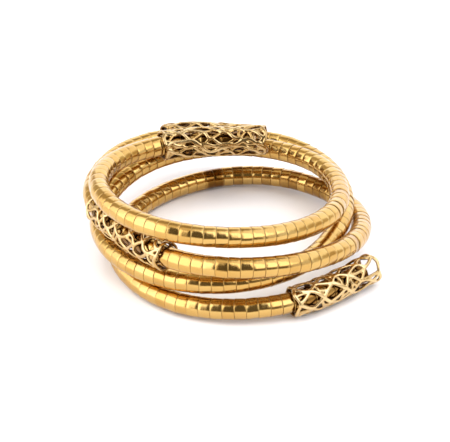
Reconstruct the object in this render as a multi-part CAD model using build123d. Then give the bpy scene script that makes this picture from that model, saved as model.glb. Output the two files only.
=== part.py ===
from build123d import *
import os
from collections import namedtuple
from math import cos, pi, radians, sin, tan

# A snake bracelet: one long flexible tube of short metal rings, coiled loosely in under four turns,
# with an openwork sleeve on each end and two more along its length. It lies on a table.
# Millimetres, +Z up. The origin is on the coil's own axis, at the height of the table.

# Driving dimensions of the tube and the coil
tube_diameter = 5.7
tube_wall = 0.5
coil_radius = 36.0            # of the tube's centre-line, before each turn's own offset
turn_gap = 0.3                # space planned between two turns

# Driving dimensions of the sleeves
sleeve_clearance = 0.5        # between the tube and a sleeve's bore
sleeve_wall = 1.0
upper_sleeve_length = 31.0
back_sleeve_length = 30.5
left_sleeve_length = 34.0
lower_sleeve_length = 28.5
mouth_depth = 4.0             # the tube stops this far inside an end sleeve's mouth
wire_width = 1.1              # the metal left between two gaps
rim_width = 1.0               # the solid band at each end of a sleeve

# The net of a sleeve: corners on columns along it, each column turned half a cell from the last
columns = 6
cells_around = 4
wobble_along = 0.18           # how far a corner strays, as a share of a column's step
wobble_around = 0.11          # the same round the sleeve, as a share of a cell's width
step_angle = 22.5             # between two points of the route, sixteen to a turn

# Places of the two middle sleeves, as shares of the whole route, at each sleeve's middle
back_sleeve_place = 0.5345
left_sleeve_place = 0.6345

# What follows from them
tube_radius = tube_diameter / 2
bore_radius = tube_radius + sleeve_clearance
sleeve_radius = bore_radius + sleeve_wall
spacing = tube_radius + sleeve_radius + turn_gap

# The coil's route, from the upper end to the lower one. Azimuth runs on through all the turns, in
# degrees. Out is the offset from the coil's radius and up the height above the table, in shares of
# the spacing that a turn keeps from a sleeve. Bears is the radius that would lie on the table there.
Station = namedtuple("Station", "azimuth out up bears")
upper_turn = [
    Station(67, -1.09, 2.41, tube_radius),
    Station(84, -1.32, 2.35, tube_radius),
    Station(102, -1.28, 2.26, tube_radius),
    Station(120, -0.87, 2.37, tube_radius),
    Station(142, -0.30, 2.29, tube_radius),
    Station(180, 0.08, 2.76, tube_radius),
    Station(225, 0.07, 3.00, tube_radius),
    Station(270, -0.28, 2.88, tube_radius),
    Station(315, -0.66, 2.40, tube_radius),
    Station(360, -0.74, 1.91, tube_radius),
    Station(405, -0.35, 1.65, tube_radius),
]
second_turn = [
    Station(450, -0.37, 1.60, tube_radius),
    Station(495, 0.13, 1.29, tube_radius),
    Station(540, 0.16, 0.83, tube_radius),
    Station(585, -0.20, 0.80, tube_radius),
    Station(630, -0.39, 0.94, tube_radius),
    Station(675, -0.68, 1.04, tube_radius),
    Station(710, -0.72, 1.12, tube_radius),
    Station(745, -0.08, 1.03, tube_radius),
    Station(775, 0.86, 1.09, tube_radius),
]
third_turn = [
    Station(795, 0.96, 1.32, tube_radius),
    Station(815, 0.53, 1.49, tube_radius),
    Station(835, 1.01, 1.60, tube_radius),
    Station(858, 1.09, 1.62, tube_radius),
    Station(882, 0.62, 1.66, tube_radius),
    Station(905, 0.26, 1.83, tube_radius),
    Station(925, -0.30, 1.85, tube_radius),
    Station(945, -0.32, 1.91, tube_radius),
    Station(965, 0.17, 2.02, tube_radius),
    Station(990, 0.42, 2.08, tube_radius),
    Station(1015, 0.42, 1.92, tube_radius),
    Station(1040, 0.22, 1.50, tube_radius),
]
lower_turn = [
    Station(1070, 0.08, 0.84, tube_radius),
    Station(1105, 0.25, 0.26, tube_radius),
    Station(1150, 0.22, 0.10, tube_radius),
    Station(1200, -0.30, 0.01, tube_radius),
    Station(1250, -0.52, 0.01, tube_radius),
    Station(1300, -0.34, 0.01, tube_radius),
    Station(1340, 0.02, 0.08, tube_radius),
    Station(1362, 0.12, 0.03, sleeve_radius),
    Station(1380, 0.35, 0.01, sleeve_radius),
    Station(1398, 0.35, 0.01, sleeve_radius),
    Station(1416, 0.76, 0.01, sleeve_radius),
]
stations = upper_turn + second_turn + third_turn + lower_turn


def smooth_value(azimuth, azimuths, values):
    """A value between two stations, on a curve that leaves each one along its neighbours' slope."""
    last = len(azimuths) - 1
    k = max(i for i in range(last) if azimuths[i] <= azimuth)
    slopes = []
    for i in (k, k + 1):
        before = max(i - 1, 0)
        after = min(i + 1, last)
        slopes.append((values[after] - values[before]) / (azimuths[after] - azimuths[before]))
    width = azimuths[k + 1] - azimuths[k]
    t = (azimuth - azimuths[k]) / width
    start_part = values[k] * (1 + 2 * t) * (1 - t) ** 2 + values[k + 1] * (3 - 2 * t) * t ** 2
    slope_part = slopes[0] * t * (1 - t) ** 2 - slopes[1] * (1 - t) * t ** 2
    return start_part + width * slope_part


def route_points():
    """The points that the tube's centre-line turns at, all the way round the coil."""
    azimuths = [s.azimuth for s in stations]
    radii = [coil_radius + s.out * spacing for s in stations]
    heights = [s.bears + s.up * spacing for s in stations]
    steps = round((azimuths[-1] - azimuths[0]) / step_angle)
    points = []
    for k in range(steps + 1):
        azimuth = azimuths[0] + k * (azimuths[-1] - azimuths[0]) / steps
        radius = smooth_value(azimuth, azimuths, radii)
        height = smooth_value(azimuth, azimuths, heights)
        points.append(Vector(radius * cos(radians(azimuth)), radius * sin(radians(azimuth)), height))
    return points


def bend_radii(points):
    """The largest arc that each corner's two runs allow."""
    radii = []
    for before, corner, after in zip(points, points[1:], points[2:]):
        turn = (corner - before).get_angle(after - corner)
        shorter = min((corner - before).length, (after - corner).length)
        radii.append(0.45 * shorter / tan(radians(turn / 2)))
    return radii


def directions(lane, share):
    """Along the tube, across it and upward from it, at a share of the lane's length."""
    along = (lane % share).normalized()
    across = along.cross(Vector(0, 0, 1)).normalized()
    return along, across, across.cross(along)


def round_hollow(lane, outer, inner):
    """A hollow round form along a stretch of the route."""
    along, across, upward = directions(lane, 0)
    start = Plane(origin=lane @ 0, x_dir=upward, z_dir=along)
    return sweep(start * (Circle(outer) - Circle(inner)), path=lane)


def net_corner(column, row, length, sleeve_number):
    """Where a corner of the net lies: how far along the sleeve, and its angle round it."""
    step = (length - 2 * rim_width) / columns
    cell_angle = 2 * pi / cells_around
    row = row % cells_around
    sway = sin(2.3 * column + 4.1 * row + 1.7 * sleeve_number)
    swing = cos(3.1 * column + 2.6 * row + 2.9 * sleeve_number)
    along = rim_width + step * column
    if 0 < column < columns:
        along += wobble_along * step * sway
    return along, cell_angle * (row + column % 2 / 2 + wobble_around * swing)


def net_cells(length, sleeve_number):
    """Each gap of the net as a list of its corners, rims' half gaps included."""
    def corner(column, row):
        along, angle = net_corner(column, row, length, sleeve_number)
        return along, angle + 2 * pi * (row // cells_around)

    cells = []
    for row in range(cells_around):
        cells.append([corner(0, row), corner(1, row), corner(0, row + 1)])
        for column in range(1, columns):
            facing = row + column % 2
            cells.append([
                corner(column - 1, facing), corner(column, row),
                corner(column + 1, facing), corner(column, row + 1),
            ])
        cells.append([corner(columns, row), corner(columns, row + 1), corner(columns - 1, row)])
    return cells


def gap_cutter(lane, corners):
    """A prism that cuts one gap through the sleeve's wall, from outside to near its axis."""
    middle = sum(c[0] for c in corners) / len(corners)
    facing = sum(c[1] for c in corners) / len(corners)
    along, across, upward = directions(lane, middle / lane.length)
    outward = upward * cos(facing) + across * sin(facing)
    side = Plane(origin=lane @ (middle / lane.length), x_dir=along, z_dir=outward)
    sense = 1 if side.y_dir.dot(across * cos(facing) - upward * sin(facing)) > 0 else -1
    wall_middle = (bore_radius + sleeve_radius) / 2
    outline = [(c[0] - middle, sense * wall_middle * sin(c[1] - facing)) for c in corners]
    gap = offset(Polygon(*outline, align=None), amount=-wire_width / 2, kind=Kind.INTERSECTION)
    return extrude(side * Pos(0, 0, tube_radius / 2) * gap, amount=sleeve_radius, dir=outward)


def open_sleeve(lane, sleeve_number):
    """A round sleeve whose wall is a net of uneven gaps, each cut right through."""
    cutters = [gap_cutter(lane, cell) for cell in net_cells(lane.length, sleeve_number)]
    return round_hollow(lane, sleeve_radius, bore_radius) - cutters


def stretch(route, start, length):
    """The part of the route that starts at a distance from its upper end."""
    return route.trim(start / route.length, (start + length) / route.length)


def build():
    """Every piece of the bracelet, by name."""
    points = route_points()
    radii = bend_radii(points)
    print("bend radii, mm:", " ".join(f"{r:.1f}" for r in radii))
    route = Wire(FilletPolyline(*points, radius=radii).edges())
    tube_lane = stretch(route, mouth_depth, route.length - 2 * mouth_depth)
    back_start = back_sleeve_place * route.length - back_sleeve_length / 2
    left_start = left_sleeve_place * route.length - left_sleeve_length / 2
    lower_start = route.length - lower_sleeve_length
    pieces = {
        "snake_tube": round_hollow(tube_lane, tube_radius, tube_radius - tube_wall),
        "end_sleeve_upper": open_sleeve(stretch(route, 0, upper_sleeve_length), 1),
        "back_sleeve": open_sleeve(stretch(route, back_start, back_sleeve_length), 2),
        "left_sleeve": open_sleeve(stretch(route, left_start, left_sleeve_length), 3),
        "end_sleeve_lower": open_sleeve(stretch(route, lower_start, lower_sleeve_length), 4),
    }
    section = pi * (tube_radius ** 2 - (tube_radius - tube_wall) ** 2)
    print(f"route {route.length:.1f} mm, tube {tube_lane.length:.1f} mm")
    print(f"tube volume {pieces['snake_tube'].volume:.1f}, section x length {section * tube_lane.length:.1f}")
    return pieces


os.makedirs("parts", exist_ok=True)
for node, shape in build().items():
    export_step(shape, f"parts/{node}.step")
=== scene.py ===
from collections import namedtuple
from math import cos, pi, radians, sin

import bpy
import numpy as np
from mathutils import Matrix, Vector


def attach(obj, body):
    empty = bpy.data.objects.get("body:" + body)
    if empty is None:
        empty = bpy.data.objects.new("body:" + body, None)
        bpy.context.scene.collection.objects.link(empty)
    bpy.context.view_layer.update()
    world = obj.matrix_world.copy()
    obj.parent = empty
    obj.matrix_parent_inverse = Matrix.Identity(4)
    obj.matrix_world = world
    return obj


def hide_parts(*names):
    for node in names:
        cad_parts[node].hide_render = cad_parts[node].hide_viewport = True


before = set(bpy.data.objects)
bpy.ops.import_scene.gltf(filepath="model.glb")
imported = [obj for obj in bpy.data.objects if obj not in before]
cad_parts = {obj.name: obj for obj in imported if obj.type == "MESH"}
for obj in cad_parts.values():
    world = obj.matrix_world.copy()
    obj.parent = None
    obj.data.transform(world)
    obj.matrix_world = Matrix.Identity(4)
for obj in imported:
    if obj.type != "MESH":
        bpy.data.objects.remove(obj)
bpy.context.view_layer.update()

# A snake bracelet lying on a table: a long tube of polished rings, coiled in under four turns, with
# four cast openwork sleeves. Metres, +Z up, the coil's own axis at x = y = 0, the camera on the -Y
# side. The tube and the sleeves are worked out in mm, and scaled when their meshes are filled
mm = 0.001
print("frame loaded:", ", ".join(sorted(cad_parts)))


# Camera
cameraLook = {
    "place": (-1.58, -427.3, 268.2),    # mm
    "aim": (-1.58, -1.22, 9.96),        # mm, what lies at the picture's middle
    "roll": -0.50,                      # degrees, the camera leans to its left
    "lens": 143.85,                     # mm
    "sensor": 36.0,                     # mm
    "nearest": 0.01,                    # metres, nothing nearer shows
    "farthest": 50.0,                   # metres
}


def makeCamera(look):
    camera = bpy.data.objects.new("camera", bpy.data.cameras.new("camera"))
    place = Vector(look["place"]) * mm
    ahead = (Vector(look["aim"]) * mm - place).normalized()
    turn = ahead.to_track_quat("-Z", "Y").to_matrix().to_4x4()
    roll = Matrix.Rotation(radians(look["roll"]), 4, "Z")
    camera.matrix_world = Matrix.Translation(place) @ turn @ roll
    camera.data.lens = look["lens"]
    camera.data.sensor_width = look["sensor"]
    camera.data.clip_start = look["nearest"]
    camera.data.clip_end = look["farthest"]
    bpy.context.scene.collection.objects.link(camera)
    bpy.context.scene.camera = camera


makeCamera(cameraLook)
print("camera set")


# Small helpers for node materials
colourInputs = (6, 7)      # where a mix node takes its two colours
colourOutput = 2           # and where it gives the mixed one


def newMaterial(name):
    material = bpy.data.materials.new(name)
    material.use_nodes = True
    return material, material.node_tree.nodes["Principled BSDF"]


def addMath(tree, operation, first, second=0.0):
    node = tree.nodes.new("ShaderNodeMath")
    node.operation = operation
    for socket, value in zip(node.inputs, (first, second)):
        if isinstance(value, (int, float)):
            socket.default_value = value
        else:
            tree.links.new(value, socket)
    return node.outputs[0]


def addSum(tree, *terms):
    # Adds up values, each times its own weight
    total = None
    for value, weight in terms:
        part = value if weight == 1 else addMath(tree, "MULTIPLY", value, weight)
        total = part if total is None else addMath(tree, "ADD", total, part)
    return total


def addRange(tree, value, low, high, outLow=0.0, outHigh=1.0, smooth=False):
    node = tree.nodes.new("ShaderNodeMapRange")
    node.interpolation_type = "SMOOTHSTEP" if smooth else "LINEAR"
    tree.links.new(value, node.inputs["Value"])
    numbers = {"From Min": low, "From Max": high, "To Min": outLow, "To Max": outHigh}
    for name, number in numbers.items():
        node.inputs[name].default_value = number
    return node.outputs[0]


def addColourMix(tree, factor, first, second):
    node = tree.nodes.new("ShaderNodeMix")
    node.data_type = "RGBA"
    tree.links.new(factor, node.inputs["Factor"])
    for index, value in zip(colourInputs, (first, second)):
        if isinstance(value, tuple):
            node.inputs[index].default_value = (*value, 1.0)
        else:
            tree.links.new(value, node.inputs[index])
    return node.outputs[colourOutput]


def addNoise(tree, vector, scale, detail=4.0, stretch=(1.0, 1.0, 1.0)):
    mapping = tree.nodes.new("ShaderNodeMapping")
    mapping.inputs["Scale"].default_value = stretch
    tree.links.new(vector, mapping.inputs["Vector"])
    node = tree.nodes.new("ShaderNodeTexNoise")
    node.inputs["Scale"].default_value = scale
    node.inputs["Detail"].default_value = detail
    tree.links.new(mapping.outputs[0], node.inputs["Vector"])
    return node.outputs["Fac"]


def addAttribute(tree, name, output="Fac"):
    node = tree.nodes.new("ShaderNodeAttribute")
    node.attribute_name = name
    return node.outputs[output]


def addBump(tree, height, strength, distance):
    node = tree.nodes.new("ShaderNodeBump")
    node.inputs["Strength"].default_value = strength
    node.inputs["Distance"].default_value = distance
    tree.links.new(height, node.inputs["Height"])
    return node


# Studio: a white sweep lit by a sky of soft panels, which the polished rings mirror
Panel = namedtuple("Panel", "azimuth halfWidth low high strength edge")    # degrees, but for strength
studioLook = {
    "base": (1.27, 1.19, 1.07),          # light from everywhere that no panel covers
    "brightTint": (0.95, 1.0, 1.13),     # the lit panels are a little cooler than the room
    "darkTint": (1.10, 0.97, 0.72),
    "litFrom": 1.0,                      # a panel counts as lit above this strength
    "panels": [
        Panel(168, 16, -8, 62, 2.25, 8),     # large box on the left, and its brighter side
        Panel(207, 28, -8, 62, 3.05, 8),
        Panel(20, 42, 28, 76, 1.80, 10),     # large box on the right, and its brighter side
        Panel(319, 25, 26, 82, 2.85, 7),
        Panel(72, 44, -10, 38, 1.90, 12),    # bright sweep at the back
        Panel(88, 31, 46, 80, 0.50, 9),      # brown ceiling over the back
        Panel(133, 18, 6, 74, 0.66, 9),      # gap between the back and the left box
        Panel(267, 27, 4, 78, 0.15, 5),      # the dark room round the camera
        Panel(305, 12, -2, 24, 0.24, 6),     # dark stand, low on the right
        Panel(340, 22, 2, 26, 1.15, 8),      # dim walls on the right
        Panel(12, 16, 0, 26, 0.75, 8),
    ],
    "leastFlat": 0.0001,                 # keeps the sky's division off zero straight overhead
    "lampPower": 5.0,                    # W, a wide lamp overhead that no ring mirrors
    "lampColour": (1.0, 0.93, 0.84),
    "lampWidth": 0.9,                    # metres
    "lampPlace": (0.0, -0.40, 0.90),     # metres
}
floorLook = {
    "size": 8.0,                         # metres
    "colour": (0.90, 0.880, 0.86),
    "roughness": 0.9,
    "specular": 0.1,
}


def makeSky(look):
    world = bpy.data.worlds.new("studioSky")
    bpy.context.scene.world = world
    world.use_nodes = True
    tree = world.node_tree
    direction = tree.nodes.new("ShaderNodeTexCoord").outputs["Generated"]
    parts = tree.nodes.new("ShaderNodeSeparateXYZ")
    tree.links.new(direction, parts.inputs[0])
    x, y, z = parts.outputs
    square = addMath(tree, "ADD", addMath(tree, "MULTIPLY", x, x), addMath(tree, "MULTIPLY", y, y))
    flat = addMath(tree, "MAXIMUM", addMath(tree, "SQRT", square), look["leastFlat"])
    colour = look["base"]
    for panel in look["panels"]:
        centre, half, blur = radians(panel.azimuth), radians(panel.halfWidth), radians(panel.edge) / 2
        low, high = radians(panel.low), radians(panel.high)
        facing = addMath(tree, "DIVIDE", addSum(tree, (x, cos(centre)), (y, sin(centre))), flat)
        across = addRange(tree, facing, cos(half + blur), cos(max(half - blur, 0)), smooth=True)
        above = addRange(tree, z, sin(low - blur), sin(low + blur), smooth=True)
        top = min(high + blur, pi / 2)
        below = addRange(tree, z, sin(high - blur), sin(top), 1.0, 0.0, smooth=True)
        mask = addMath(tree, "MULTIPLY", across, addMath(tree, "MULTIPLY", above, below))
        tint = look["brightTint"] if panel.strength > look["litFrom"] else look["darkTint"]
        colour = addColourMix(tree, mask, colour, tuple(panel.strength * c for c in tint))
    tree.links.new(colour, tree.nodes["Background"].inputs["Color"])


def makeLamp(look):
    lamp = bpy.data.lights.new("overheadLamp", "AREA")
    lamp.size = look["lampWidth"]
    lamp.energy = look["lampPower"]
    lamp.color = look["lampColour"]
    holder = bpy.data.objects.new("overheadLamp", lamp)
    holder.location = look["lampPlace"]
    holder.visible_glossy = False
    bpy.context.scene.collection.objects.link(holder)


def makeFloor(look):
    half = look["size"] / 2
    corners = [(-half, -half, 0), (half, -half, 0), (half, half, 0), (-half, half, 0)]
    mesh = bpy.data.meshes.new("floor")
    mesh.from_pydata(corners, [], [(0, 1, 2, 3)])
    floor = bpy.data.objects.new("floor", mesh)
    bpy.context.scene.collection.objects.link(floor)
    material, shader = newMaterial("paleFloor")
    shader.inputs["Base Color"].default_value = (*look["colour"], 1.0)
    shader.inputs["Roughness"].default_value = look["roughness"]
    shader.inputs["Specular IOR Level"].default_value = look["specular"]
    mesh.materials.append(material)


makeSky(studioLook)
makeLamp(studioLook)
makeFloor(floorLook)
bpy.context.scene.view_settings.view_transform = "Standard"
bpy.context.scene.view_settings.look = "None"
print("studio lit")


# The coil's route, by the same stations as the solid tube's. Azimuth is in degrees and runs on through
# all the turns. Out is the offset from the coil's radius and up the height above the table, both in
# shares of the spacing between turns. Bears is the radius that would lie on the table there
tubeSize = {
    "tube": 5.7,                # mm across
    "sleeve": 8.7,              # mm across a sleeve
    "coilRadius": 36.0,         # mm
    "turnGap": 0.3,             # mm
    "stepAngle": 22.5,          # degrees between two points of the route
    "splineSteps": 40,          # points read from the spline for each of the route's
    "mouthDepth": 4.0,          # mm, how far inside an end sleeve the tube stops
}
tubeRadius = tubeSize["tube"] / 2
sleeveRadius = tubeSize["sleeve"] / 2
turnSpacing = tubeRadius + sleeveRadius + tubeSize["turnGap"]
Station = namedtuple("Station", "azimuth out up bears")
upperTurn = [
    Station(67, -1.09, 2.41, tubeRadius),
    Station(84, -1.32, 2.35, tubeRadius),
    Station(102, -1.28, 2.26, tubeRadius),
    Station(120, -0.87, 2.37, tubeRadius),
    Station(142, -0.30, 2.29, tubeRadius),
    Station(180, 0.08, 2.76, tubeRadius),
    Station(225, 0.07, 3.00, tubeRadius),
    Station(270, -0.28, 2.88, tubeRadius),
    Station(315, -0.66, 2.40, tubeRadius),
    Station(360, -0.74, 1.91, tubeRadius),
    Station(405, -0.35, 1.65, tubeRadius),
]
secondTurn = [
    Station(450, -0.37, 1.60, tubeRadius),
    Station(495, 0.13, 1.29, tubeRadius),
    Station(540, 0.16, 0.83, tubeRadius),
    Station(585, -0.20, 0.80, tubeRadius),
    Station(630, -0.39, 0.94, tubeRadius),
    Station(675, -0.68, 1.04, tubeRadius),
    Station(710, -0.72, 1.12, tubeRadius),
    Station(745, -0.08, 1.03, tubeRadius),
    Station(775, 0.86, 1.09, tubeRadius),
]
thirdTurn = [
    Station(795, 0.96, 1.32, tubeRadius),
    Station(815, 0.53, 1.49, tubeRadius),
    Station(835, 1.01, 1.60, tubeRadius),
    Station(858, 1.09, 1.62, tubeRadius),
    Station(882, 0.62, 1.66, tubeRadius),
    Station(905, 0.26, 1.83, tubeRadius),
    Station(925, -0.30, 1.85, tubeRadius),
    Station(945, -0.32, 1.91, tubeRadius),
    Station(965, 0.17, 2.02, tubeRadius),
    Station(990, 0.42, 2.08, tubeRadius),
    Station(1015, 0.42, 1.92, tubeRadius),
    Station(1040, 0.22, 1.50, tubeRadius),
]
lowerTurn = [
    Station(1070, 0.08, 0.84, tubeRadius),
    Station(1105, 0.25, 0.26, tubeRadius),
    Station(1150, 0.22, 0.10, tubeRadius),
    Station(1200, -0.30, 0.01, tubeRadius),
    Station(1250, -0.52, 0.01, tubeRadius),
    Station(1300, -0.34, 0.01, tubeRadius),
    Station(1340, 0.02, 0.08, tubeRadius),
    Station(1362, 0.12, 0.03, sleeveRadius),
    Station(1380, 0.35, 0.01, sleeveRadius),
    Station(1398, 0.35, 0.01, sleeveRadius),
    Station(1416, 0.76, 0.01, sleeveRadius),
]
stations = upperTurn + secondTurn + thirdTurn + lowerTurn


def smoothValue(azimuth, azimuths, values):
    # A value between two stations, on a curve that leaves each one along its neighbours' slope
    last = len(azimuths) - 1
    k = max(i for i in range(last) if azimuths[i] <= azimuth)
    slopes = []
    for i in (k, k + 1):
        before, after = max(i - 1, 0), min(i + 1, last)
        slopes.append((values[after] - values[before]) / (azimuths[after] - azimuths[before]))
    width = azimuths[k + 1] - azimuths[k]
    t = (azimuth - azimuths[k]) / width
    ends = values[k] * (1 + 2 * t) * (1 - t) ** 2 + values[k + 1] * (3 - 2 * t) * t ** 2
    return ends + width * (slopes[0] * t * (1 - t) ** 2 - slopes[1] * (1 - t) * t ** 2)


def routePoints():
    azimuths = [s.azimuth for s in stations]
    radii = [tubeSize["coilRadius"] + s.out * turnSpacing for s in stations]
    heights = [s.bears + s.up * turnSpacing for s in stations]
    steps = round((azimuths[-1] - azimuths[0]) / tubeSize["stepAngle"])
    points = []
    for k in range(steps + 1):
        azimuth = azimuths[0] + k * (azimuths[-1] - azimuths[0]) / steps
        radius, height = (smoothValue(azimuth, azimuths, values) for values in (radii, heights))
        points.append(Vector((radius * cos(radians(azimuth)), radius * sin(radians(azimuth)), height)))
    return points


def unit(vectors):
    return vectors / np.linalg.norm(vectors, axis=-1, keepdims=True)


class Route:
    # The tube's centre-line, read from one smooth spline and walked by distance. Millimetres
    def __init__(self, points):
        curve = bpy.data.curves.new("route", "CURVE")
        curve.dimensions = "3D"
        spline = curve.splines.new("NURBS")
        spline.points.add(len(points) - 1)
        for knot, point in zip(spline.points, points):
            knot.co = (*point, 1.0)
        spline.order_u = 3
        spline.use_endpoint_u = True
        spline.resolution_u = tubeSize["splineSteps"]
        holder = bpy.data.objects.new("route", curve)
        mesh = bpy.data.meshes.new_from_object(holder)
        self.places = np.array([v.co for v in mesh.vertices])
        bpy.data.objects.remove(holder)
        bpy.data.curves.remove(curve)
        bpy.data.meshes.remove(mesh)
        steps = np.linalg.norm(np.diff(self.places, axis=0), axis=1)
        self.distances = np.concatenate([[0.0], np.cumsum(steps)])
        self.length = self.distances[-1]
        self.headings = np.gradient(self.places, self.distances, axis=0)

    def at(self, distance):
        # Place, heading, upward and across directions at one distance or many
        place, heading = (
            np.stack([np.interp(distance, self.distances, table[:, i]) for i in range(3)], -1)
            for table in (self.places, self.headings))
        heading = unit(heading)
        across = unit(np.cross(heading, (0.0, 0.0, 1.0)))
        return place, heading, np.cross(across, heading), across


route = Route(routePoints())
print(f"route {route.length:.1f} mm")

# The sleeves. Place is the share of the route at a sleeve's middle, where 0 and 1 put it at the tube's
# ends. Columns and cells count the net's gaps along it and round it, and number shifts its corners.
# Flow is 0 for straight wires and 1 for waving ones. Bow is how far they stray, wire is their width,
# and over is how far above and below the wall's middle two crossing wires lie, all in mm. Bar and spine
# say how often a gap holds a wire across it or along it, and struts how often a half gap holds one, at
# the near rim and at the far one. Left out are wires that the net lacks, by their column, row and side.
# Ropes are long wires over the net: how many, how far they swing in mm, and how many waves they make
sleeveTable = [
    {
        "name": "end_sleeve_upper_net", "node": "end_sleeve_upper", "number": 1, "seed": 3,
        "place": 0.0, "length": 31.0, "columns": 8, "cells": 8, "tarnish": 0.26,
        "flow": 1.0, "bow": 0.36, "wire": 0.98, "over": 0.15, "bar": 0.10, "spine": 0.08,
        "struts": (0.6, 0.6), "leftOut": (), "ropes": 4, "ropeSwing": 1.6, "ropeWaves": 1.7,
    },
    {
        "name": "back_sleeve_net", "node": "back_sleeve", "number": 2, "seed": 5,
        "place": 0.5345, "length": 30.5, "columns": 8, "cells": 8, "tarnish": 0.38,
        "flow": 1.0, "bow": 0.40, "wire": 1.02, "over": 0.16, "bar": 0.10, "spine": 0.10,
        "struts": (0.6, 0.6), "leftOut": (), "ropes": 5, "ropeSwing": 1.4, "ropeWaves": 1.8,
    },
    {
        "name": "left_sleeve_net", "node": "left_sleeve", "number": 3, "seed": 8,
        "place": 0.6345, "length": 34.0, "columns": 11, "cells": 5, "tarnish": 0.14,
        "flow": 0.45, "bow": 0.36, "wire": 1.0, "over": 0.06, "bar": 0.30, "spine": 0.10,
        "struts": (0.6, 0.6), "leftOut": (), "ropes": 0,
    },
    {
        "name": "end_sleeve_lower_net", "node": "end_sleeve_lower", "number": 4, "seed": 6,
        "place": 1.0, "length": 28.5, "columns": 8, "cells": 5, "tarnish": 0.0,
        "flow": 0.1, "bow": 0.24, "wire": 1.05, "over": 0.05, "bar": 0.4, "spine": 0.35,
        "struts": (0.6, 0.0), "leftOut": ((7, 0, 0), (7, 4, 1)), "ropes": 0,
    },
]
for sleeve in sleeveTable:
    # How far down the route it starts, in mm
    start = max(sleeve["place"] * route.length - sleeve["length"] / 2, 0.0)
    sleeve["start"] = min(start, route.length - sleeve["length"])


# Polished rings
ringLook = {
    "pitch": 3.02,             # mm from seam to seam
    "sides": 36,
    "radius": 2.79,            # mm, a little under the tube's, so that a leaning ring stays inside it
    "lean": 0.028,             # radians, how far a ring leans off the tube's line
    "cone": 0.040,             # mm, how much wider a ring is at one end
    "flare": 0.03,             # how unevenly the rings mirror the room: radians, along the tube
    "twist": 0.05,             # radians, round it
    "seed": 7,
    # Across a ring, from seam to seam: share of the way, and how far the surface drops, in mm
    "profile": [(0.0, 0.16), (0.012, 0.09), (0.026, 0.028), (0.05, 0.007), (0.3, 0.0),
                (0.7, 0.0), (0.95, 0.007), (0.974, 0.028), (0.988, 0.09), (1.0, 0.16)],
    # The dome that closes the tube's ends: share of the radius, rise in mm, how dark, mm of wrap
    "dome": [(0.85, 0.25, 0.2, 0.3), (0.5, 0.55, 0.0, 0.6), (0.08, 0.70, 0.0, 0.9)],
    "wrapLength": 10.0,        # mm of tube to one unit of the wrap that carries the brushing
    "colour": (0.53, 0.305, 0.082),
    "paleColour": (0.60, 0.385, 0.125),
    "seamColour": (0.17, 0.090, 0.025),
    "patinaShadeColour": (0.195, 0.088, 0.016),   # the tube's patina and painted shade inside the sleeves and on the darker stretches
    "wearScale": 140.0,        # how fine the blotches of wear are
    "toneShare": 0.6,          # how much of the wear goes by the ring
    "wearShare": 0.5,          # and how much by the blotches
    "paleRange": (0.2, 0.95),  # the wear at which the gold starts to pale, and where it is palest
    # Patina and painted shade inside the sleeves: the wear at which they start to thin and stop, and
    # how much is there
    "patinaShadeRange": (0.38, 0.68, 1.0, 0.05),
    "patinaShadeFade": 2.0,         # mm, over which they set in at a sleeve's rim
    "grimeWear": 0.25,         # how unevenly the seams are grimy
    "grimeRange": (0.35, 1.0),  # the depth at which the grime starts, and where it is darkest
    "roughness": 0.145,
    "wearDull": 0.06,          # how far roughness rises with wear
    "seamDull": 0.35,          # and how far in the seams
    # Fine brushed lines that run round the rings
    "brushScale": 60.0,
    "brushStretch": (14.0, 0.12, 1.0),
    "brushBump": 0.15,
    "brushDepth": 0.00005,     # metres
    # Darker stretches, a short tarnished one and a long one of painted shade on the back of the lowest
    # turn: share of the route at the middle, half length in mm, how dark
    "stainsAndShade": [(0.8262, 3.0, 1.3), (0.8015, 19.0, 0.6)],
}


def makePolishedGold(look):
    material, shader = newMaterial("polishedGold")
    tree = material.node_tree
    wrap = tree.nodes.new("ShaderNodeUVMap")
    wrap.uv_map = "wrap"
    place = tree.nodes.new("ShaderNodeTexCoord").outputs["Object"]
    seam = addAttribute(tree, "seam")
    blotches = addNoise(tree, place, look["wearScale"])
    brushed = addNoise(tree, wrap.outputs[0], look["brushScale"], stretch=look["brushStretch"])
    tone = addAttribute(tree, "ringTone")
    toneLevel = addSum(tree, (tone, look["toneShare"]), (blotches, look["wearShare"]))
    pale = addRange(tree, toneLevel, *look["paleRange"])
    face = addColourMix(tree, pale, look["colour"], look["paleColour"])
    # Patina and painted shade where the sleeves cover the tube, and on the darker stretches
    patinaAndShade = addRange(tree, toneLevel, *look["patinaShadeRange"])
    under = addMath(tree, "MULTIPLY", addAttribute(tree, "under"), patinaAndShade)
    face = addColourMix(tree, under, face, look["patinaShadeColour"])
    grime = addRange(tree, addSum(tree, (seam, 1), (blotches, look["grimeWear"])), *look["grimeRange"])
    face = addColourMix(tree, grime, face, look["seamColour"])
    tree.links.new(face, shader.inputs["Base Color"])
    dull = addMath(tree, "MULTIPLY", addMath(tree, "ADD", blotches, brushed), look["wearDull"])
    dull = addSum(tree, (seam, look["seamDull"]), (dull, 1))
    rough = addMath(tree, "ADD", dull, look["roughness"] - look["wearDull"])
    tree.links.new(rough, shader.inputs["Roughness"])
    # Each ring's surface faces a little off the round, as its own mesh attribute says
    turned = tree.nodes.new("ShaderNodeVectorMath")
    tree.links.new(tree.nodes.new("ShaderNodeNewGeometry").outputs["Normal"], turned.inputs[0])
    tree.links.new(addAttribute(tree, "tilt", "Vector"), turned.inputs[1])
    facing = tree.nodes.new("ShaderNodeVectorMath")
    facing.operation = "NORMALIZE"
    tree.links.new(turned.outputs[0], facing.inputs[0])
    bump = addBump(tree, brushed, look["brushBump"], look["brushDepth"])
    tree.links.new(facing.outputs[0], bump.inputs["Normal"])
    tree.links.new(bump.outputs[0], shader.inputs["Normal"])
    shader.inputs["Metallic"].default_value = 1.0
    return material


RingRow = namedtuple("RingRow", "points seam tone distance tilt")


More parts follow.
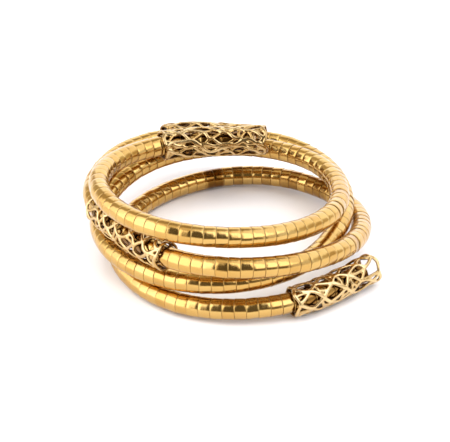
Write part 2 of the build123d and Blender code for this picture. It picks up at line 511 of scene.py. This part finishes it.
def ringRows(look):
    # The rows of points round the tube, from its upper end to its lower one, and the rings' number
    start, stop = tubeSize["mouthDepth"], route.length - tubeSize["mouthDepth"]
    count = round((stop - start) / look["pitch"])
    seams = np.linspace(start, stop, count + 1)
    chance = np.random.default_rng(look["seed"])
    most = 2 * look["lean"]     # no ring leans more
    leans = np.clip(chance.normal(0.0, look["lean"], (count, 2)), -most, most)
    tones = chance.random(count)
    flares = chance.normal(0.0, look["flare"], (count, 3))
    twists = chance.normal(0.0, look["twist"], count)
    phases = chance.random(count) * 2 * pi
    middle, heading, upward, across = route.at((seams[1:] + seams[:-1]) / 2)
    seamPlace, seamHeading = route.at(seams)[:2]
    angles = np.arange(look["sides"]) * 2 * pi / look["sides"]
    rings, tilts = [], []
    for i in range(count):
        # A ring is a straight piece, a little conical, that leans a little off the tube's line
        axis = heading[i] + leans[i, 0] * upward[i] + leans[i, 1] * across[i]
        axis /= np.linalg.norm(axis)
        spokes = np.outer(np.cos(angles), upward[i]) + np.outer(np.sin(angles), across[i])
        spokes -= np.outer(spokes @ axis, axis)
        spokes = unit(spokes)
        ends = []
        for k in (i, i + 1):
            gap = seamPlace[k] - middle[i] - look["radius"] * spokes
            ends.append(gap @ seamHeading[k] / (axis @ seamHeading[k]))
        ring = []
        for share, drop in look["profile"]:
            along = ends[0] + share * (ends[1] - ends[0])
            radius = look["radius"] - drop + look["cone"] * (0.5 - share)
            ring.append(middle[i] + radius * spokes + along[:, None] * axis)
        rings.append(ring)
        flare = flares[i, 0] + spokes @ (flares[i, 1] * upward[i] + flares[i, 2] * across[i])
        twist = twists[i] * np.sin(2 * angles + phases[i])
        tilts.append(flare[:, None] * axis + twist[:, None] * np.cross(axis, spokes))
    # Neighbouring rings share the row of points at the bottom of their seam
    steps = len(look["profile"]) - 1
    seamDepth = look["profile"][0][1]
    rows = [RingRow(rings[0][0], 1.0, tones[0], seams[0], tilts[0])]
    for i in range(count):
        for j in range(1, steps):
            share, drop = look["profile"][j]
            distance = seams[i] + share * (seams[i + 1] - seams[i])
            rows.append(RingRow(rings[i][j], drop / seamDepth, tones[i], distance, tilts[i]))
        isLast = i == count - 1
        points = rings[i][steps] if isLast else (rings[i][steps] + rings[i + 1][0]) / 2
        rows.append(RingRow(points, 1.0, tones[i], seams[i + 1], tilts[i]))
    # Both ends of the tube are closed by a shallow dome
    still = np.zeros((look["sides"], 3))
    for end, outward in ((0, -1), (-1, 1)):
        edge = rows[end]
        place, ahead = (v[0] for v in route.at(np.array([seams[end]]))[:2])
        dome = []
        for share, rise, seam, away in look["dome"]:
            points = place + (edge.points - place) * share + outward * rise * ahead
            dome.append(RingRow(points, seam, edge.tone, edge.distance + outward * away, still))
        rows = dome[::-1] + rows if end == 0 else rows + dome
    return rows, count


def ringPatinaAndShade(distance, look):
    # How far the patina and painted shade have set in at each distance along the tube
    under = np.zeros(len(distance))
    for sleeve in sleeveTable:
        inside = np.minimum(distance - sleeve["start"], sleeve["start"] + sleeve["length"] - distance)
        under = np.maximum(under, np.clip(inside / look["patinaShadeFade"], 0.0, 1.0))
    # A tarnished ring, and painted shade along the lowest turn's back
    for share, half, strength in look["stainsAndShade"]:
        inside = half - np.abs(distance - share * route.length)
        under = np.maximum(under, strength * np.clip(inside, 0.0, 1.0))
    return under


def makeRings(look):
    rows, count = ringRows(look)
    sides = look["sides"]
    distance = np.array([row.distance for row in rows])
    faces, wraps = [], []
    for j in range(len(rows) - 1):
        u0, u1 = distance[j] / look["wrapLength"], distance[j + 1] / look["wrapLength"]
        for k in range(sides):
            n = (k + 1) % sides
            faces.append((j * sides + k, (j + 1) * sides + k, (j + 1) * sides + n, j * sides + n))
            v0, v1 = k / sides, (k + 1) / sides
            wraps += [u0, v0, u1, v0, u1, v1, u0, v1]
    points = np.concatenate([row.points for row in rows]) * mm
    mesh = bpy.data.meshes.new("snake_rings")
    mesh.from_pydata(points.tolist(), [], faces)
    mesh.polygons.foreach_set("use_smooth", [True] * len(faces))
    mesh.uv_layers.new(name="wrap").data.foreach_set("uv", wraps)
    rowValues = {
        "seam": [row.seam for row in rows],
        "ringTone": [row.tone for row in rows],
        "under": ringPatinaAndShade(distance, look),
    }
    for name, values in rowValues.items():
        attribute = mesh.attributes.new(name, "FLOAT", "POINT")
        attribute.data.foreach_set("value", np.repeat(np.array(values, dtype=np.float32), sides))
    tilt = np.concatenate([row.tilt for row in rows]).astype(np.float32)
    mesh.attributes.new("tilt", "FLOAT_VECTOR", "POINT").data.foreach_set("vector", tilt.ravel())
    mesh.materials.append(makePolishedGold(look))
    rings = bpy.data.objects.new("snake_rings", mesh)
    bpy.context.scene.collection.objects.link(rings)
    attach(rings, "root")
    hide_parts("snake_tube")
    print(f"{count} rings, {2 * len(faces)} triangles")


makeRings(ringLook)


# Cast sleeves
sleeveLook = {
    "bore": 3.36,              # mm from the sleeve's axis
    "outside": 4.34,           # mm
    "wobbleAlong": 0.26,       # how far a corner strays, as a share of a column's step
    "wobbleAround": 0.17,      # share of a cell's width
    "swayWaves": (2.3, 4.1, 1.7),      # how the stray along changes with the column, row and sleeve
    "swingWaves": (3.1, 2.6, 2.9),     # the same for the stray round the sleeve
    "wireRange": (0.86, 1.14),         # least and most of a wire's width, as shares of the sleeve's own
    "thickness": 0.76,         # mm
    "knot": 1.25,              # how much wider a wire is where it meets others
    "knotPower": 4,            # the higher, the nearer to its ends it thickens
    # Thin wires inside the gaps: bars across, spines along, twigs on both, and struts to the rims
    "thin": 0.84,              # their width, as a share of the others'
    "thinRange": (0.88, 1.12),  # least and most of it
    "sink": 0.16,              # mm, how much lower they lie
    "sinkRange": (0.3, 1.3),   # least and most of it
    "innerWidth": 1.1,         # how much wider bars and spines are than twigs and struts
    "innerBow": 1.6,           # how much further bars and spines stray than the net's own wires
    "twigBow": 0.5,            # how far a twig strays, as a share of what it grows from
    "spineFlow": 0.5,          # how much a spine waves
    "slant": 0.3,              # how far along a gap's side an end of a bar may lie
    "barTwigs": 0.35,          # how often a bar has a twig
    "spineTwigs": 0.5,         # how often a spine has one
    "strutStray": 0.8,         # mm, how far a strut may lean
    # Ropes over the net
    "ropeWidth": 0.56,         # half their width, as a share of a wire's whole width
    "ropeOver": 1.2,           # how high they lie, as a share of what a crossing's upper wire does
    "ropeStart": 0.3,          # how unevenly they are spaced
    "ropeRange": (0.85, 1.15),  # least and most of a rope's waves, as shares of the sleeve's own
    "ropeDrift": 0.12,         # how far round the sleeve a rope may wander, in turns
    "ropeShift": 2.6,          # how unlike each other the ropes' waves start
    "rippleSize": 0.3,         # the smaller wave on a rope's wave, as a share of it
    "rippleWaves": 2.3,        # and how many times as often it comes
    # Rims
    "rimWidth": 1.0,           # mm
    "rimIn": 0.30,             # mm, how far inside the sleeve's end the rim runs
    "rimWaves": ((0.28, 3, 1.0), (0.20, 5, 2.0)),      # size in mm, waves round, shift by the sleeve
    "rimSwell": (0.18, 4),     # how far its width changes, and how many times round the sleeve
    # The mesh
    "wireSides": 10,
    "wireStep": 0.35,          # mm between two sections of a wire
    "fewestSteps": 13,         # sections of the shortest wires
    "rimSteps": 61,            # sections of a rim
    "grain": 0.15,             # mm, the voxel's size
    "soften": (0.5, 3),        # strength and passes
    "axisSteps": 241,          # points of the sleeve's axis that its wall is measured from
    "batches": 60,             # how many lots its points are measured in
    # The finish
    "colour": (0.46, 0.282, 0.098),
    "paleColour": (0.80, 0.60, 0.310),     # the wires' tops, paled by wear and by painted light that falls off down their flanks
    # painted shade: the net darkens towards its bore, where light hardly reaches, mixed with some dirt
    "recessShadeColour": (0.165, 0.070, 0.012),
    "wearScale": 260.0,        # how fine the blotches of wear are
    "wearShare": 0.9,          # how much of the wear goes by them
    "depthShade": 1.1,         # and how much the depth darkens it, as painted shade on the flanks and in the recesses
    "paleRange": (-0.15, 0.50),            # the level at which it starts to pale, and where it is palest
    "dirtShadeWear": 0.4,           # how unevenly the painted recess shade and dirt lie
    "dirtShadeRange": (0.60, 1.15),  # the depth at which the painted shade and dirt start, and where they are darkest
    "roughness": 0.20,
    "dull": 0.16,              # how far roughness changes with wear and dirt
    # The casting's fine rough skin
    "skinScale": 1500.0,
    "skinDetail": 3.0,
    "skinBump": 0.25,
    "skinDepth": 0.00008,      # metres
}


def makeCastGold(look):
    material, shader = newMaterial("castGold")
    tree = material.node_tree
    place = tree.nodes.new("ShaderNodeTexCoord").outputs["Object"]
    depth, tarnish = addAttribute(tree, "depth"), addAttribute(tree, "tarnish")
    blotches = addNoise(tree, place, look["wearScale"])
    skin = addNoise(tree, place, look["skinScale"], look["skinDetail"])
    # Wear by the blotches, less depth: the wires' tops are painted paler and their flanks darker, as
    # painted shading
    toneLevel = addSum(tree, (blotches, look["wearShare"]), (depth, -look["depthShade"]), (tarnish, -1))
    pale = addRange(tree, toneLevel, *look["paleRange"])
    face = addColourMix(tree, pale, look["colour"], look["paleColour"])
    # Painted shade with some dirt: darker with depth into the wall, made uneven by the blotches
    dirtAndShade = addSum(tree, (depth, 1), (blotches, look["dirtShadeWear"]))
    dirtAndShade = addRange(tree, dirtAndShade, *look["dirtShadeRange"], smooth=True)
    tree.links.new(addColourMix(tree, dirtAndShade, face, look["recessShadeColour"]), shader.inputs["Base Color"])
    dull = addMath(tree, "MULTIPLY", addMath(tree, "ADD", blotches, dirtAndShade), look["dull"])
    rough = addMath(tree, "ADD", dull, look["roughness"] - look["dull"] / 2)
    tree.links.new(rough, shader.inputs["Roughness"])
    bump = addBump(tree, addMath(tree, "ADD", skin, blotches), look["skinBump"], look["skinDepth"])
    tree.links.new(bump.outputs[0], shader.inputs["Normal"])
    shader.inputs["Metallic"].default_value = 1.0
    return material


def netCorner(column, row, sleeve, look):
    # In mm: how far along the sleeve, and how far round it at the middle of its wall
    step = (sleeve["length"] - 2 * look["rimWidth"]) / sleeve["columns"]
    cellAngle = 2 * pi / sleeve["cells"]
    turns, row = divmod(row, sleeve["cells"])
    byColumn, byRow, bySleeve = look["swayWaves"]
    sway = sin(byColumn * column + byRow * row + bySleeve * sleeve["number"])
    byColumn, byRow, bySleeve = look["swingWaves"]
    swing = cos(byColumn * column + byRow * row + bySleeve * sleeve["number"])
    along = look["rimWidth"] + step * column
    if 0 < column < sleeve["columns"]:
        along += look["wobbleAlong"] * step * sway
    angle = cellAngle * (row + column % 2 / 2 + look["wobbleAround"] * swing) + 2 * pi * turns
    return np.array([along, angle * (look["bore"] + look["outside"]) / 2])


def bentLine(start, end, flow, bow):
    # A function of the share of the way: an S that leaves both ends along the sleeve, with a bow
    leastRun = 0.1      # mm, keeps the division off zero
    run = end - start
    lead = np.array([run[0], (1 - flow) * run[1]])
    sideways = np.array([-run[1], run[0]]) / max(np.hypot(*run), leastRun)

    def at(share):
        t = np.asarray(share, dtype=float)[..., None]
        ends = start * (1 + 2 * t) * (1 - t) ** 2 + end * (3 - 2 * t) * t ** 2
        slopes = lead * (t * (1 - t) ** 2 - (1 - t) * t ** 2)
        return ends + slopes + np.sin(pi * t) * bow * sideways
    return at


def ropeLine(sleeve, look, phase, waves, drift):
    # A function of the share of the way: a rope that waves its way along the whole sleeve
    first, last = look["rimWidth"], sleeve["length"] - look["rimWidth"]
    girth = pi * (look["bore"] + look["outside"])

    def at(share):
        t = np.asarray(share, dtype=float)
        wave = np.sin(2 * pi * (waves * t + look["ropeShift"] * phase))
        ripple = look["rippleSize"] * np.sin(2 * pi * (look["rippleWaves"] * waves * t + phase))
        across = girth * (phase + drift * t) + sleeve["ropeSwing"] * (wave + ripple)
        return np.stack([first + t * (last - first), across], -1)
    return at


def sleeveWires(sleeve, look):
    # Each wire: its line, half width, height above the wall's middle, and whether its ends thicken
    chance = np.random.default_rng(sleeve["seed"])
    half = sleeve["wire"] / 2
    rows, columns = sleeve["cells"], sleeve["columns"]
    wires = []

    def corner(column, row):
        return netCorner(column, row, sleeve, look)

    def thinWire(start, end, bow=0.0, flow=0.0, width=1.0):
        line = bentLine(start, end, flow, bow)
        wide = half * look["thin"] * width * chance.uniform(*look["thinRange"])
        wires.append((line, wide, -look["sink"] * chance.uniform(*look["sinkRange"]), False))
        return line

    # The net's own wires. Side 0 leads to the next column's upper corner, side 1 to its lower one
    for row in range(rows):
        for column in range(columns):
            for side in (0, 1):
                end = corner(column + 1, row + column % 2 - side)
                bow = chance.normal(0, sleeve["bow"])
                line = bentLine(corner(column, row), end, sleeve["flow"], bow)
                wide = half * chance.uniform(*look["wireRange"])
                if (column, row, side) not in sleeve["leftOut"]:
                    wires.append((line, wide, sleeve["over"] * (1 - 2 * side), True))
    # What the whole gaps hold
    kinds = ("bar", "spine", "open")
    odds = [sleeve["bar"], sleeve["spine"], 1 - sleeve["bar"] - sleeve["spine"]]
    for row in range(rows):
        for column in range(1, columns):
            facing = row + column % 2
            left, near = corner(column - 1, facing), corner(column, row)
            right, far = corner(column + 1, facing), corner(column, row + 1)
            kind = kinds[chance.choice(len(kinds), p=odds)]
            bow = chance.normal(0, look["innerBow"] * sleeve["bow"])
            slant = chance.uniform(-look["slant"], look["slant"])
            if kind == "bar":
                start = near + (left - near) * max(slant, 0)
                end = far + (left - far) * max(-slant, 0)
                bar = thinWire(start, end, bow, 0.0, look["innerWidth"])
                if chance.random() < look["barTwigs"]:
                    tip = near if chance.random() < 0.5 else far
                    thinWire(bar(0.5), (right + tip) / 2, look["twigBow"] * bow)
            elif kind == "spine":
                spine = thinWire(left, right, bow, look["spineFlow"], look["innerWidth"])
                if chance.random() < look["spineTwigs"]:
                    tip = near if chance.random() < 0.5 else far
                    thinWire(spine(0.5), tip, look["twigBow"] * bow)
    # Struts in the half gaps beside the rims
    halfGaps = ((1, 0.0), (columns - 1, sleeve["length"]))
    for row in range(rows):
        for (column, rim), often in zip(halfGaps, sleeve["struts"]):
            if chance.random() < often:
                spot = corner(column, row)
                stray = chance.uniform(-look["strutStray"], look["strutStray"])
                thinWire(spot, np.array([rim, spot[1] + stray]))
    # Ropes, which run over all of them
    for k in range(sleeve["ropes"]):
        phase = (k + look["ropeStart"] * chance.random()) / sleeve["ropes"]
        waves = sleeve["ropeWaves"] * chance.uniform(*look["ropeRange"])
        drift = chance.uniform(-look["ropeDrift"], look["ropeDrift"])
        line = ropeLine(sleeve, look, phase, waves, drift)
        wide = look["ropeWidth"] * sleeve["wire"]
        wires.append((line, wide, look["ropeOver"] * sleeve["over"], False))
    return wires


def addWire(parts, sleeve, look, along, angle, level, width):
    # A closed bar of oval section that follows the sleeve's wall
    sides, thickness = look["wireSides"], look["thickness"] / 2
    place, _, upward, across = route.at(sleeve["start"] + along)
    outward = np.cos(angle)[:, None] * upward + np.sin(angle)[:, None] * across
    points = place + level[:, None] * outward
    side = unit(np.cross(unit(np.gradient(points, axis=0)), outward))
    turns = np.arange(sides) * 2 * pi / sides
    oval = (np.cos(turns)[None, :, None] * (width[:, None] * side)[:, None]
            + np.sin(turns)[None, :, None] * (thickness * outward)[:, None])
    base, count = len(parts["verts"]), len(points)
    parts["verts"].extend((points[:, None] + oval).reshape(-1, 3).tolist())
    for j in range(count - 1):
        for k in range(sides):
            n = (k + 1) % sides
            low, high = base + j * sides, base + (j + 1) * sides
            parts["faces"].append((low + k, low + n, high + n, high + k))
    parts["faces"].append(tuple(base + k for k in range(sides))[::-1])
    parts["faces"].append(tuple(base + (count - 1) * sides + k for k in range(sides)))


def wireMesh(sleeve, look):
    parts = {"verts": [], "faces": []}
    middle, rim = (look["bore"] + look["outside"]) / 2, look["rimWidth"] / 2
    first, last = rim, sleeve["length"] - rim
    for line, width, lift, knotted in sleeveWires(sleeve, look):
        length = np.abs(np.diff(line(np.array([0.0, 1.0])), axis=0)).sum()
        share = np.linspace(0.0, 1.0, max(look["fewestSteps"], round(length / look["wireStep"])))
        if knotted:
            width = width * (1 + (look["knot"] - 1) * np.abs(2 * share - 1) ** look["knotPower"])
            lift = lift * np.sin(pi * share)
        along, around = line(share).T
        ones = np.ones(len(share))
        addWire(parts, sleeve, look, np.clip(along, first, last), around / middle,
                middle + lift * ones, width * ones)
    angle = 2 * pi * np.linspace(0.0, 1.0, look["rimSteps"])
    swell, swells = look["rimSwell"]
    for edge, inward in ((first, 1), (last, -1)):
        wave = sum(size * np.sin(waves * angle + shift * sleeve["number"])
                   for size, waves, shift in look["rimWaves"])
        along = np.clip(edge + inward * (look["rimIn"] + wave), first, last)
        width = rim * (1.0 + swell * np.sin(swells * angle + sleeve["seed"]))
        addWire(parts, sleeve, look, along, angle, np.full(len(angle), middle), width)
    mesh = bpy.data.meshes.new(sleeve["name"])
    mesh.from_pydata(parts["verts"], [], parts["faces"])
    return mesh


def meltWires(piece, look):
    # Makes one casting of the wires
    wires = piece.data
    remesh = piece.modifiers.new("melt", "REMESH")
    remesh.mode = "VOXEL"
    remesh.voxel_size = look["grain"]
    soften = piece.modifiers.new("soften", "SMOOTH")
    soften.factor, soften.iterations = look["soften"]
    bpy.context.view_layer.update()
    melted = piece.evaluated_get(bpy.context.evaluated_depsgraph_get())
    cast = bpy.data.meshes.new_from_object(melted)
    piece.modifiers.clear()
    piece.data = cast
    bpy.data.meshes.remove(wires)
    return cast


def trueWall(cast, sleeve, look):
    # Brings the casting's wall back between its bore and its outside, and says how deep each point lies
    points = np.array([v.co for v in cast.vertices])
    lane = np.linspace(0.0, sleeve["length"], look["axisSteps"])
    centres, headings = route.at(sleeve["start"] + lane)[:2]
    nearest = np.concatenate([
        np.argmin(((part[:, None] - centres[None]) ** 2).sum(2), axis=1)
        for part in np.array_split(points, look["batches"])])
    away = points - centres[nearest]
    lengthwise = (away * headings[nearest]).sum(1, keepdims=True) * headings[nearest]
    radial = away - lengthwise
    radius = np.linalg.norm(radial, axis=1, keepdims=True)
    wanted = np.clip(radius, look["bore"], look["outside"])
    points = centres[nearest] + lengthwise + radial / radius * wanted
    cast.vertices.foreach_set("co", (points * mm).ravel())
    return ((look["outside"] - wanted) / (look["outside"] - look["bore"]))[:, 0]


def makeSleeve(sleeve, look, material):
    piece = bpy.data.objects.new(sleeve["name"], wireMesh(sleeve, look))
    bpy.context.scene.collection.objects.link(piece)
    cast = meltWires(piece, look)
    depth = trueWall(cast, sleeve, look)
    for name, values in (("depth", depth), ("tarnish", np.full(len(depth), sleeve["tarnish"]))):
        attribute = cast.attributes.new(name, "FLOAT", "POINT")
        attribute.data.foreach_set("value", values.astype(np.float32))
    cast.polygons.foreach_set("use_smooth", [True] * len(cast.polygons))
    cast.materials.clear()
    cast.materials.append(material)
    cast.update()
    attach(piece, "root")
    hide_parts(sleeve["node"])
    print(f"{sleeve['name']}: {2 * len(cast.polygons)} triangles")


castGold = makeCastGold(sleeveLook)
for sleeve in sleeveTable:
    makeSleeve(sleeve, sleeveLook, castGold)

bpy.context.view_layer.update()
